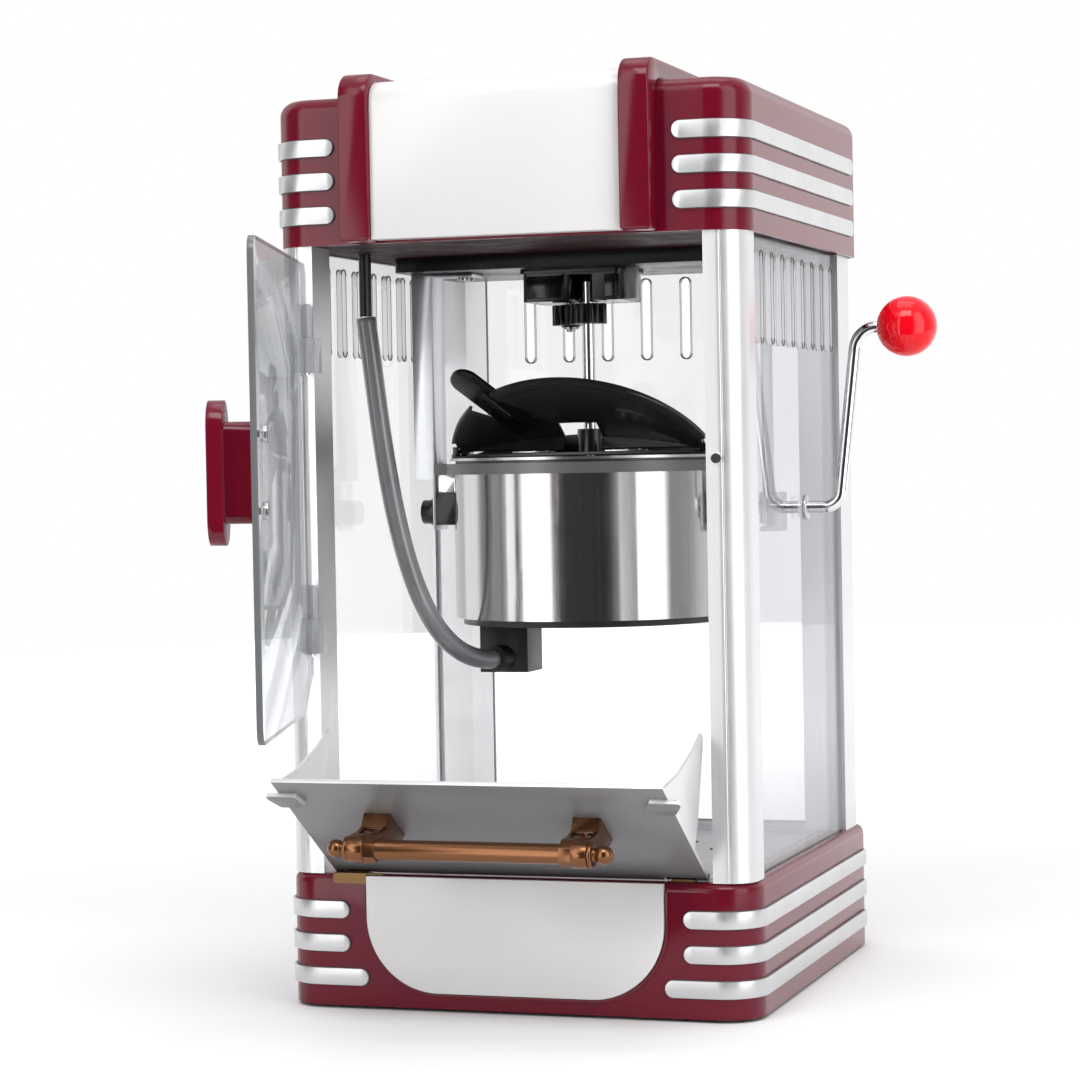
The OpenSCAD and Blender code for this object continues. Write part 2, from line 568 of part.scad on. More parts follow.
// ------------------------------------------------------------------- door
module door_pose() translate([door_x, door_y, 0]) rotate(-door_rest) children();
module door_pane() color([0.9, 0.93, 0.95, 0.35]) door_pose() translate([0, 1.5, 0]) rotate([90, 0, 0]) linear_extrude(3) difference() {
  union() {
    translate([3.4, 162]) square([door_w - 3.4, 206]);
    translate([11.4, 153]) square([door_w - 11.4 - 8, 223]);
    translate([11.4, 162]) circle(8, $fn = f2);
    translate([door_w - 8, 161]) circle(8, $fn = f2);
    translate([11.4, 368]) circle(8, $fn = f2);
    translate([door_w - 8, 368]) circle(8, $fn = f2);
    translate([door_w - 8, 161]) square([8, 10]);
  }
  for (z = [319.8, 178.2]) translate([0, z]) square([9.2, 21.2]);
  polygon([[0, 150], [44, 150], [44, 152.9], [35, 157.2], [25, 161.8], [14, 166.2], [8.5, 168.4], [3, 170]]);
  for (z = [289.5, 255.5]) translate([199, z]) circle(1.6, $fn = f2);
}
module door_hinge_leaves() color([0.85, 0.88, 0.9, 0.6]) door_pose() for (z = [339.3, 197.7]) difference() {
  union() {
    zcyl(0, 0, 3, z, z + 17);
    box([0, -3, z], [15, -1.5, z + 17]);
  }
  zcyl(0, 0, 1.56, z - 1, z + 18);
  box([3.39, -1.5, z - 1], [20, 4, z + 18]);
}
module door_knob() color([0.42, 0.03, 0.10]) door_pose() {
  // oval grip on a standing foot
  difference() {
    translate([199, -1.5, 272.5]) rotate([90, 0, 0]) linear_extrude(13) {
      square([11, 34], center = true);
      for (k = [-1, 1]) translate([0, k*17]) circle(5.5, $fn = f2);
    }
    for (z = [289.5, 255.5]) ycyl(199, -12, 0, z, 1.5);
  }
  translate([199, -14.5, 272.5]) rotate([90, 0, 0]) linear_extrude(7) {
    square([24, 40], center = true);
    for (k = [-1, 1]) translate([0, k*20]) circle(12, $fn = f2);
  }
}
module door_knob_screws() color([0.6, 0.6, 0.62]) door_pose() for (z = [289.5, 255.5]) {
  ycyl(199, -10, 3.6, z, 1.5);
  ycyl(199, 1.5, 4.2, z, 4);
}

// ------------------------------------------------------------------- tray
module tray_pose() translate([0, tray_y, tray_z]) rotate([tray_rest, 0, 0]) children();
module tray_panel() color([0.50, 0.50, 0.51]) tray_pose() {
  difference() {
    union() {
      translate([0, 0, 0]) rotate([90, 0, 0]) linear_extrude(2.2)
        polygon([[-98, 0], [98, 0], [98.5, 97.1], [-98.5, 97.1]]);
      for (s = [-1, 1]) xcyl(s*95 - 3, s*95 + 3, 0, 0, 2);
    }
    for (s = [-1, 1]) {
      xcyl(s*88 - 12, s*88 + 12, 0, 0, 1.56);
      box([s*84 - 8, -3, -1], [s*84 + 8, 1, 2.6]);
    }
  }
  // side cheeks
  for (s = [-1, 1]) translate([s*97.25 - 0.75, 0, 0]) rotate([90, 0, 90]) linear_extrude(1.5)
    polygon([[-0.5, 30], [14.7, 32.2], [35.3, 37.7], [50, 42.2], [53.6, 44.5], [54, 48], [39.7, 56.5], [17.6, 73.8], [-0.5, 93.5]]);
}
module tray_stops() color([0.55, 0.55, 0.56]) tray_pose() for (s = [1, -1]) mx(s)
  translate([0, -2.2, 0]) rotate([90, 0, 0]) linear_extrude(2.5)
    polygon([[89.5, 86.6], [103.4, 86.6], [104.6, 85.6], [104.6, 83.4], [100.6, 75.8], [99.6, 75.2], [91.5, 75.2], [86.6, 78.6]]);
module tray_handle_bar() color([0.42, 0.25, 0.13]) tray_pose()
  translate([0, -25.3, 73.4]) rotate([0, 90, 0]) rotate_extrude($fn = f1) {
    translate([0, -61]) square([4.95, 122]);
    for (s = [-1, 1]) {
      translate([0, s*61.5 - 1]) square([6.2, 2]);
      translate([0, s*63.5 - 1.5]) square([3.2, 3]);
      intersection() {
        translate([0, s*67.5]) circle(4.6, $fn = f1);
        translate([0, -80]) square([20, 160]);
      }
    }
  }
module tray_handle_brackets() color([0.42, 0.25, 0.13]) tray_pose() for (s = [1, -1]) mx(s) difference() {
  // hollow cast bracket, open to the front, screw on its floor
  union() {
    translate([46.5, 0, 0]) rotate([90, 0, 90]) linear_extrude(14)
      polygon([[-2.2, 43], [-2.2, 66.2], [-9.5, 66.2], [-14, 70], [-19.5, 77], [-25.3, 79.4], [-30.9, 76], [-31.3, 71.2], [-28, 67.6], [-16, 55], [-6, 45.2]]);
    xcyl(52.5, 60.3, -25.3, 73.4, 6.6);
  }
  translate([49, 0, 0]) rotate([90, 0, 90]) linear_extrude(9)
    polygon([[-4.2, 46], [-4.2, 64], [-9.5, 64], [-9.5, 90], [-17.4, 90], [-17.4, 74], [-19.2, 69.6], [-22, 66.8], [-40, 50], [-30, 40], [-6, 43]]);
  xcyl(40, 70, -25.3, 73.4, 4.95);
  ycyl(53.5, -4.3, -2, 51.8, 1.5);
}
module tray_handle_screws() color([0.75, 0.75, 0.77]) tray_pose() for (s = [1, -1]) mx(s)
  translate([53.5, -4.2, 51.8]) rotate([90, 0, 0]) screw(2, 1.5, 3);
module tray_hinge_pins() color([0.55, 0.35, 0.16]) {
  for (s = [1, -1]) mx(s) {
    xcyl(78, 97.8, tray_y, tray_z, 1.5);
    xcyl(76.6, 78.2, tray_y, tray_z, 1.8);
    xcyl(79.5, 91.4, tray_y, tray_z, 2);
    box([79.5, -126.2, base_z], [91.4, tray_y + 3, base_z + 0.9]);
  }
  // left leaf, wrapped over the front edge, and its spring leg
  box([-96, -133.3, base_z], [-78.4, -126.1, base_z + 0.9]);
  box([-96, -133.3, 63.6], [-78.4, -132.5, base_z + 0.9]);
  xcyl(-79, -69, -132.8, base_z + 0.5, 0.6);
}

base_shell();
base_front_panel();
base_trim();
base_bottom_cover();
case_screws();
rubber_feet();
cabinet_floor();
posts_front();
posts_rear();
window_left();
window_right();
window_rear();
door_catch();
door_hinge_blocks();
door_hinge_pins();
top_shell();
roof_panel();
roof_ribs();
top_trim();
housing_base();
ceiling_pan();
gear_motor();
gearbox_housing();
switch_bezel();
cord_gland();
hanger_left();
hanger_right();
hanger_bush();
pivot_pin();
tray_hinge_pins();
kettle_lead();
lead_sleeve();
drive_shaft();
drive_gear();
power_switch();
door_pane();
door_hinge_leaves();
door_knob();
door_knob_screws();
tray_panel();
tray_stops();
tray_handle_bar();
tray_handle_brackets();
tray_handle_screws();
kettle_shell();
kettle_pot();
kettle_rim_plate();
kettle_base();
kettle_brackets();
kettle_pivot_blocks();
kettle_plug();
crank_rod();
crank_ball();
lid_bridge();
lid_rear();
lid_front();
lid_handle();
stir_shaft();
stir_gear();
stir_blade();
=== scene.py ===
import bpy, bmesh, math
from mathutils import Vector, Matrix


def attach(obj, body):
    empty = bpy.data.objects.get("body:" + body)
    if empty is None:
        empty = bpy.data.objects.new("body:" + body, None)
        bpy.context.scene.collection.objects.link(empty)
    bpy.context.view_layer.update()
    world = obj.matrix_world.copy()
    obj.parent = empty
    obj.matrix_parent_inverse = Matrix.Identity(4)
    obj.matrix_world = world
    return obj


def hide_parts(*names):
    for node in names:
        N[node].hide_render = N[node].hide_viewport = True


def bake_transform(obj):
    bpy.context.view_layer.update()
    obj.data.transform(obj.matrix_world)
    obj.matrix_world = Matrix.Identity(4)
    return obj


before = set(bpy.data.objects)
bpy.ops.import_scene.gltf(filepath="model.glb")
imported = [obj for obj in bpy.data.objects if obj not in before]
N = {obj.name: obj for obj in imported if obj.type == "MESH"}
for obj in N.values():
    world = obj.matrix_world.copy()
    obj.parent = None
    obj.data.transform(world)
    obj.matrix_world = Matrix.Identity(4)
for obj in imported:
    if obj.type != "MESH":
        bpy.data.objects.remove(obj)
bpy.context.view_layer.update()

SC = bpy.context.scene
MM = 0.001


# ------------------------------------------------------------------ camera
def make_camera():
    yaw, pitch, roll = (math.radians(a) for a in (18.236, -1.498, -1.058))
    fw = Vector((-math.sin(yaw) * math.cos(pitch), math.cos(yaw) * math.cos(pitch), math.sin(pitch)))
    right = Vector((math.cos(yaw), math.sin(yaw), 0))
    up = right.cross(fw)
    r = math.cos(roll) * right + math.sin(roll) * up
    u = -math.sin(roll) * right + math.cos(roll) * up
    data = bpy.data.cameras.new("camera")
    data.lens, data.sensor_width = 3053.48 / 1080 * 36, 36
    data.clip_start, data.clip_end = 0.05, 30
    cam = bpy.data.objects.new("camera", data)
    SC.collection.objects.link(cam)
    m = Matrix.Identity(4)
    for i, v in enumerate((r, u, -fw)):
        m[0][i], m[1][i], m[2][i] = v
    m.translation = Vector((0.48853, -1.56301, 0.27563))
    cam.matrix_world = m
    SC.camera = cam


# --------------------------------------------------------------- materials
class Mat:
    """A small builder of node materials. Coordinates are the object's own, in metres."""

    def __init__(s, name):
        s.m = bpy.data.materials.new(name)
        s.m.use_nodes = True
        s.t = s.m.node_tree
        s.t.nodes.clear()
        s.out = s.add("ShaderNodeOutputMaterial")
        s.b = s.add("ShaderNodeBsdfPrincipled")
        s.t.links.new(s.b.outputs[0], s.out.inputs[0])
        s.co = s.add("ShaderNodeTexCoord").outputs["Object"]
        s.normal = None

    def add(s, kind, **kw):
        n = s.t.nodes.new(kind)
        for k, v in kw.items():
            setattr(n, k, v)
        return n

    def put(s, sock, v):
        if isinstance(v, bpy.types.NodeSocket):
            s.t.links.new(v, sock)
        elif isinstance(v, (tuple, list)) and len(v) == 3 and len(sock.default_value) == 4:
            sock.default_value = (*v, 1)
        else:
            sock.default_value = v

    def set(s, **kw):
        for k, v in kw.items():
            s.put(s.b.inputs[k.replace("_", " ")], v)
        return s

    def mapped(s, scale=(1, 1, 1), rot=(0, 0, 0), loc=(0, 0, 0)):
        n = s.add("ShaderNodeMapping")
        s.put(n.inputs["Vector"], s.co)
        n.inputs["Scale"].default_value = scale
        n.inputs["Rotation"].default_value = rot
        n.inputs["Location"].default_value = loc
        return n.outputs[0]

    def noise(s, scale, detail=2.0, rough=0.5, stretch=None, dist=0.0, loc=(0, 0, 0)):
        n = s.add("ShaderNodeTexNoise")
        n.inputs["Scale"].default_value = scale
        n.inputs["Detail"].default_value = detail
        n.inputs["Roughness"].default_value = rough
        n.inputs["Distortion"].default_value = dist
        s.put(n.inputs["Vector"], s.mapped(stretch or (1, 1, 1), loc=loc))
        return n.outputs["Fac"]

    def rng(s, v, a, b, lo=0.0, hi=1.0, smooth=False):
        n = s.add("ShaderNodeMapRange")
        if smooth:
            n.interpolation_type = "SMOOTHSTEP"
        s.put(n.inputs["Value"], v)
        n.inputs["From Min"].default_value = a
        n.inputs["From Max"].default_value = b
        n.inputs["To Min"].default_value = lo
        n.inputs["To Max"].default_value = hi
        return n.outputs[0]

    def math(s, op, a, b=None):
        n = s.add("ShaderNodeMath", operation=op)
        s.put(n.inputs[0], a)
        if b is not None:
            s.put(n.inputs[1], b)
        return n.outputs[0]

    def mix(s, f, a, b, blend="MIX"):
        n = s.add("ShaderNodeMix", data_type="RGBA", blend_type=blend)
        s.put(n.inputs[0], f)
        s.put(n.inputs[6], a)
        s.put(n.inputs[7], b)
        return n.outputs[2]

    def bump(s, height, dist, strength=1.0):
        n = s.add("ShaderNodeBump")
        n.inputs["Distance"].default_value = dist
        n.inputs["Strength"].default_value = strength
        s.put(n.inputs["Height"], height)
        if s.normal:
            s.put(n.inputs["Normal"], s.normal)
        s.normal = n.outputs[0]
        s.put(s.b.inputs["Normal"], s.normal)
        return s

    def edges(s, radius):
        """1 on edges and corners, 0 on open faces."""
        b = s.add("ShaderNodeBevel", samples=4)
        b.inputs["Radius"].default_value = radius
        g = s.add("ShaderNodeNewGeometry")
        d = s.add("ShaderNodeVectorMath", operation="DOT_PRODUCT")
        s.put(d.inputs[0], b.outputs[0])
        s.put(d.inputs[1], g.outputs["Normal"])
        return s.rng(d.outputs["Value"], 0.985, 0.86)


def surf(name, color, rough, metal=0.0, coat=0.0, tint=0.04, tscale=14, rvar=0.25, rscale=45,
         grain=0.0, gscale=1400, peel=0.0, pscale=170, brush=None, bdist=0.00002, aniso=0.0,
         tangent=None, wear=None, ior=1.5, coat_rough=0.04, sheen=0.0, spec=0.5):
    """Colour with slow variation, roughness with smudges, moulded grain, orange peel and brushing."""
    s = Mat(name)
    v = s.rng(s.noise(tscale, 3), 0.3, 0.7, 1 - tint, 1 + tint)
    hsv = s.add("ShaderNodeHueSaturation")
    s.put(hsv.inputs["Color"], (*color, 1))
    s.put(hsv.inputs["Value"], v)
    base = hsv.outputs[0]
    r = s.rng(s.noise(rscale, 4, 0.6), 0.3, 0.75, rough * (1 - rvar), rough * (1 + rvar))
    if brush:
        fine = s.noise(1, 3, 0.6, stretch=brush)
        r = s.math("ADD", r, s.rng(fine, 0.3, 0.7, -0.04, 0.05))
        base = s.mix(s.rng(fine, 0.3, 0.7), s.mix(1.0, base, (0.94, 0.94, 0.94, 1), "MULTIPLY"), base)
        s.bump(fine, bdist)
    if wear:
        e = s.edges(0.0007)
        e = s.math("MULTIPLY", e, s.rng(s.noise(120, 4, 0.7), 0.48, 0.62))
        base = s.mix(s.math("MULTIPLY", e, wear[1]), base, (*wear[0], 1))
        r = s.math("ADD", r, s.math("MULTIPLY", e, 0.12))
    if peel:
        s.bump(s.noise(pscale, 2), peel)
    if grain:
        s.bump(s.noise(gscale, 2, 0.7), grain)
    s.set(Base_Color=base, Roughness=r, Metallic=metal, IOR=ior)
    s.b.inputs["Specular IOR Level"].default_value = spec
    s.b.inputs["Coat Weight"].default_value = coat
    s.b.inputs["Coat Roughness"].default_value = coat_rough
    if sheen:
        s.b.inputs["Sheen Weight"].default_value = sheen
    if aniso:
        s.b.inputs["Anisotropic"].default_value = aniso
        t = s.add("ShaderNodeTangent", direction_type="RADIAL", axis=tangent or "Z")
        s.put(s.b.inputs["Tangent"], t.outputs[0])
    return s


def acrylic(name, normal, tint=(0.93, 0.935, 0.94), edge=(0.20, 0.21, 0.215), rough=0.012, haze=0.04):
    """Clear sheet: see-through on its two faces, darker on its sawn rims. normal is the sheet's own normal."""
    s = Mat(name)
    g = s.add("ShaderNodeNewGeometry")
    tr = s.add("ShaderNodeVectorTransform", vector_type="NORMAL", convert_from="WORLD", convert_to="OBJECT")
    s.put(tr.inputs[0], g.outputs["True Normal"])
    d = s.add("ShaderNodeVectorMath", operation="DOT_PRODUCT")
    s.put(d.inputs[0], tr.outputs[0])
    d.inputs[1].default_value = normal
    rim = s.rng(s.math("ABSOLUTE", d.outputs["Value"]), 0.9, 0.6)
    smudge = s.noise(22, 4, 0.6, dist=0.4)
    clear = s.add("ShaderNodeBsdfTransparent")
    s.put(clear.inputs[0], (*tint, 1))
    gloss = s.add("ShaderNodeBsdfGlossy")
    s.put(gloss.inputs["Roughness"], s.rng(smudge, 0.35, 0.75, rough, rough + 0.05))
    s.put(gloss.inputs["Color"], (0.97, 0.98, 1.0, 1))
    fr = s.add("ShaderNodeFresnel")
    s.put(fr.inputs["IOR"], s.rng(g.outputs["Backfacing"], 0, 1, 1.49, 1 / 1.49))
    face = s.add("ShaderNodeMixShader")
    s.put(face.inputs[0], s.math("MULTIPLY", fr.outputs[0], 0.8))
    s.put(face.inputs[1], clear.outputs[0])
    s.put(face.inputs[2], gloss.outputs[0])
    dust = s.add("ShaderNodeBsdfDiffuse")
    s.put(dust.inputs[0], (0.9, 0.92, 0.94, 1))
    hazed = s.add("ShaderNodeMixShader")
    s.put(hazed.inputs[0], s.rng(smudge, 0.35, 0.8, haze * 0.4, haze))
    s.put(hazed.inputs[1], face.outputs[0])
    s.put(hazed.inputs[2], dust.outputs[0])
    s.set(Base_Color=(*edge, 1), Roughness=0.22, IOR=1.49)
    both = s.add("ShaderNodeMixShader")
    s.put(both.inputs[0], rim)
    s.put(both.inputs[1], hazed.outputs[0])
    s.put(both.inputs[2], s.b.outputs[0])
    s.t.links.new(both.outputs[0], s.out.inputs[0])
    return s


def moulded_clear(name, tint, body, share):
    """Thick clear moulding: partly see-through, partly its own pale grey, glossy outside."""
    s = Mat(name)
    clear = s.add("ShaderNodeBsdfTransparent")
    s.put(clear.inputs[0], (*tint, 1))
    s.set(Base_Color=s.mix(s.noise(70, 3), (*(c * 0.9 for c in body), 1), (*body, 1)),
          Roughness=s.rng(s.noise(60, 3), 0.3, 0.7, 0.06, 0.16), IOR=1.49)
    lw = s.add("ShaderNodeLayerWeight")
    lw.inputs["Blend"].default_value = 0.35
    m = s.add("ShaderNodeMixShader")
    s.put(m.inputs[0], s.rng(lw.outputs["Facing"], 0.0, 0.9, share, min(1.0, share + 0.45)))
    s.put(m.inputs[1], clear.outputs[0])
    s.put(m.inputs[2], s.b.outputs[0])
    s.t.links.new(m.outputs[0], s.out.inputs[0])
    return s


MATS = {}


def build_materials():
    k = MATS
    k["burgundy"] = surf("burgundy gloss plastic", (0.130, 0.0030, 0.0145), 0.17, tint=0.02, peel=0.00001,
                         pscale=130, rvar=0.12, spec=0.32)
    # painted shade: the housing's underside uses the case's burgundy darkened to near black, for the shadow under the
    # housing; its grain and dull finish are the moulding's own
    k["burgundy_shaded_dark"] = surf("burgundy underside darkened as painted shade", (0.020, 0.0012, 0.0030), 0.6, tint=0.05, grain=0.00003, spec=0.1)
    k["white"] = surf("off-white gloss plastic", (0.705, 0.695, 0.69), 0.26, coat=0.1, tint=0.006, rvar=0.05,
                      peel=0.000003, pscale=120)
    k["silver"] = surf("satin silver paint", (0.60, 0.60, 0.61), 0.36, metal=0.80, coat=0.2, tint=0.015, coat_rough=0.15,
                       grain=0.000006, gscale=3500)
    k["anodised"] = surf("satin anodised alloy", (0.74, 0.74, 0.75), 0.42, metal=1.0, brush=(500, 500, 3), bdist=0.000003,
                         tint=0.01, rvar=0.1)
    k["hanger"] = surf("hanger sheet alloy", (0.62, 0.63, 0.65), 0.36, metal=1.0, brush=(400, 400, 4), bdist=0.000004, tint=0.02,
                       rvar=0.12)
    k["black"] = surf("black grained plastic", (0.012, 0.012, 0.013), 0.42, grain=0.00004, gscale=1500)
    k["black_gloss"] = surf("black gloss plastic", (0.006, 0.006, 0.007), 0.18, peel=0.00003, rvar=0.3, spec=0.4)
    k["pan"] = surf("black enamelled pan", (0.005, 0.005, 0.006), 0.32, peel=0.00003, rvar=0.2, spec=0.22)
    k["gear"] = surf("black nylon", (0.010, 0.010, 0.011), 0.34, grain=0.00002, gscale=900)
    k["rubber"] = surf("foot rubber", (0.012, 0.012, 0.012), 0.75, grain=0.00005, gscale=1100, tint=0.15)
    k["kettle"] = surf("stainless kettle wall", (0.66, 0.65, 0.64), 0.11, metal=1.0, brush=(900, 900, 3), bdist=0.0000012,
                       tint=0.02, rvar=0.2)
    k["bright"] = surf("bright stainless edge", (0.74, 0.73, 0.72), 0.16, metal=1.0, tint=0.03, rvar=0.3)
    k["pot"] = surf("spun alloy pot", (0.62, 0.62, 0.62), 0.28, metal=1.0, brush=(30, 30, 1500), bdist=0.00001, tint=0.08)
    k["dark"] = surf("dark painted rim", (0.15, 0.146, 0.142), 0.34, metal=0.3, tint=0.05, grain=0.00001, gscale=2200,
                     wear=((0.30, 0.30, 0.30), 0.35))
    k["lid"] = surf("dark lid enamel", (0.020, 0.020, 0.021), 0.24, metal=0.2, coat=0.15, tint=0.08, peel=0.00005, pscale=90)
    k["lid_flap"] = surf("dark flap enamel", (0.060, 0.058, 0.058), 0.20, metal=0.5, coat=0.3, tint=0.06, peel=0.00005, pscale=90)
    k["chrome"] = surf("polished chrome", (0.80, 0.80, 0.81), 0.07, metal=1.0, tint=0.02, rvar=0.4)
    k["screw"] = surf("zinc screw", (0.52, 0.52, 0.53), 0.26, metal=1.0, tint=0.06)
    k["catch"] = surf("dark steel catch", (0.05, 0.05, 0.052), 0.3, metal=0.8, tint=0.08)
    k["red"] = surf("red gloss ball", (0.86, 0.002, 0.012), 0.10, tint=0.01, peel=0.000008, pscale=110, spec=0.38)
    k["bronze"] = surf("bronze metallic paint", (0.205, 0.086, 0.036), 0.22, metal=0.9, coat=0.15, coat_rough=0.1,
                       tint=0.03, rvar=0.1, wear=((0.5, 0.27, 0.13), 0.3))
    k["tray"] = surf("satin grey tray", (0.210, 0.210, 0.216), 0.36, coat=0.1, coat_rough=0.25, tint=0.012, metal=0.25,
                     grain=0.000004, gscale=1800, rvar=0.1)
    # painted light: faces turned away from the tray's main face (its cheeks and edges) are screened lighter, as if lit
    # from the side
    s = k["tray"]
    g = s.add("ShaderNodeNewGeometry")
    tr = s.add("ShaderNodeVectorTransform", vector_type="NORMAL", convert_from="WORLD", convert_to="OBJECT")
    s.put(tr.inputs[0], g.outputs["True Normal"])
    d = s.add("ShaderNodeVectorMath", operation="DOT_PRODUCT")
    s.put(d.inputs[0], tr.outputs[0])
    ta = math.radians(56.3)
    d.inputs[1].default_value = (0, -math.cos(ta), -math.sin(ta))
    old = s.b.inputs["Base Color"].links[0].from_socket
    s.put(s.b.inputs["Base Color"], s.mix(s.rng(d.outputs["Value"], 0.80, 0.97), s.mix(1.0, (0.60, 0.60, 0.61, 1), old, "SCREEN"), old))
    k["floor_sheet"] = surf("satin floor sheet", (0.60, 0.61, 0.62), 0.36, metal=1.0, brush=(6, 500, 500), bdist=0.000005, tint=0.03)
    k["brass"] = surf("bronze hinge metal", (0.17, 0.10, 0.045), 0.36, metal=1.0, tint=0.12)
    k["lead"] = surf("black silicone lead", (0.009, 0.009, 0.010), 0.34, grain=0.00002, gscale=900)
    k["sleeve"] = surf("grey sleeve", (0.185, 0.190, 0.198), 0.20, coat=0.5, coat_rough=0.08, tint=0.10, tscale=40, ior=1.6)
    k["clear_solid"] = moulded_clear("clear moulded plastic", (0.86, 0.87, 0.875), (0.50, 0.51, 0.52), 0.42)
    k["clear_clip"] = moulded_clear("grey clear clip", (0.70, 0.71, 0.72), (0.30, 0.31, 0.32), 0.45)
    k["boss_clear"] = moulded_clear("pale clear boss", (0.93, 0.93, 0.935), (0.70, 0.71, 0.72), 0.10)
    k["pane_x"] = acrylic("left window acrylic", (1, 0, 0), tint=(0.965, 0.965, 0.967), edge=(0.78, 0.79, 0.80))
    k["pane_xr"] = acrylic("right window acrylic", (1, 0, 0), tint=(0.875, 0.87, 0.885), edge=(0.74, 0.74, 0.75))
    k["pane_y"] = acrylic("rear window acrylic", (0, 1, 0), tint=(0.965, 0.965, 0.967), edge=(0.78, 0.79, 0.80), haze=0.03)
    a = math.radians(73.6)
    k["pane_door"] = acrylic("door acrylic", (math.sin(a), math.cos(a), 0), edge=(0.13, 0.135, 0.14))
    k["seal"] = surf("dark seal", (0.020, 0.020, 0.021), 0.5, grain=0.00002)
    # painted shade: a dark bead laid round each trim strip stands for the shadow in its gap
    k["line"] = surf("painted shade line", (0.075, 0.055, 0.060), 0.6, grain=0.00001)
    k["slot_edge"] = surf("sawn slot edge", (0.10, 0.10, 0.105), 0.3, tint=0.08)


def paint(node, key):
    o = N[node]
    o.data.materials.clear()
    o.data.materials.append(MATS[key].m)


PLAIN_EDGES = ("kettle_shell", "posts_front", "posts_rear", "kettle_pot", "kettle_rim_plate", "top_shell",
               "cabinet_floor")


def soften(node, width, segs=2, angle=32):
    o = N[node]
    for p in o.data.polygons:
        p.use_smooth = True
    w = o.modifiers.new("weld", "WELD")
    w.merge_threshold = 2e-6
    if node in PLAIN_EDGES:                       # long curved walls keep their own straight normals
        e = o.modifiers.new("edges", "EDGE_SPLIT")
        e.split_angle = math.radians(angle)
        if node in ("top_shell", "cabinet_floor"):                   # large flat walls round small holes stay flat
            f = o.modifiers.new("flat walls", "WEIGHTED_NORMAL")
            f.mode, f.weight, f.keep_sharp = "FACE_AREA", 90, True
        return
    b = o.modifiers.new("bevel", "BEVEL")
    b.width, b.segments = width, segs
    b.limit_method, b.angle_limit = "ANGLE", math.radians(angle)
    b.harden_normals = True
    b.use_clamp_overlap = True


# ------------------------------------------------------------------- stage
def make_stage():
    bm = bmesh.new()
    rings = []
    for r in (0.4, 0.9, 1.5, 2.0):
        rings.append([bm.verts.new((r * math.cos(i * math.pi / 48), 1.5 + r * math.sin(i * math.pi / 48), -0.0002))
                      for i in range(96)])
    bm.faces.new(rings[0])
    for a, b in zip(rings, rings[1:]):
        for i in range(96):
            bm.faces.new((a[i], b[i], b[(i + 1) % 96], a[(i + 1) % 96]))
    me = bpy.data.meshes.new("floor")
    bm.to_mesh(me)
    o = bpy.data.objects.new("floor", me)
    SC.collection.objects.link(o)
    s = Mat("pale floor")
    s.set(Base_Color=s.mix(s.noise(6, 3), (0.84, 0.84, 0.84, 1), (0.87, 0.87, 0.87, 1)), Roughness=0.75)
    s.b.inputs["Specular IOR Level"].default_value = 0.2
    far = s.add("ShaderNodeVectorMath", operation="LENGTH")      # painted light: the floor glows more the farther it lies from its centre, so the far floor runs out to white
    s.put(far.inputs[0], s.add("ShaderNodeTexCoord").outputs["Object"])
    s.set(Emission_Strength=s.rng(far.outputs["Value"], 0.55, 1.5, 0.0, 0.6))
    s.b.inputs["Emission Color"].default_value = (1, 1, 1, 1)
    o.data.materials.append(s.m)


def area(name, loc, target, size, power, color=(1, 1, 1)):
    d = bpy.data.lights.new(name, "AREA")
    d.shape = "RECTANGLE"
    d.size, d.size_y = size
    d.energy = power
    d.color = color
    o = bpy.data.objects.new(name, d)
    o.location = loc
    o.rotation_mode = "QUATERNION"
    o.rotation_quaternion = (Vector(target) - Vector(loc)).to_track_quat("-Z", "Y")
    SC.collection.objects.link(o)
    return o


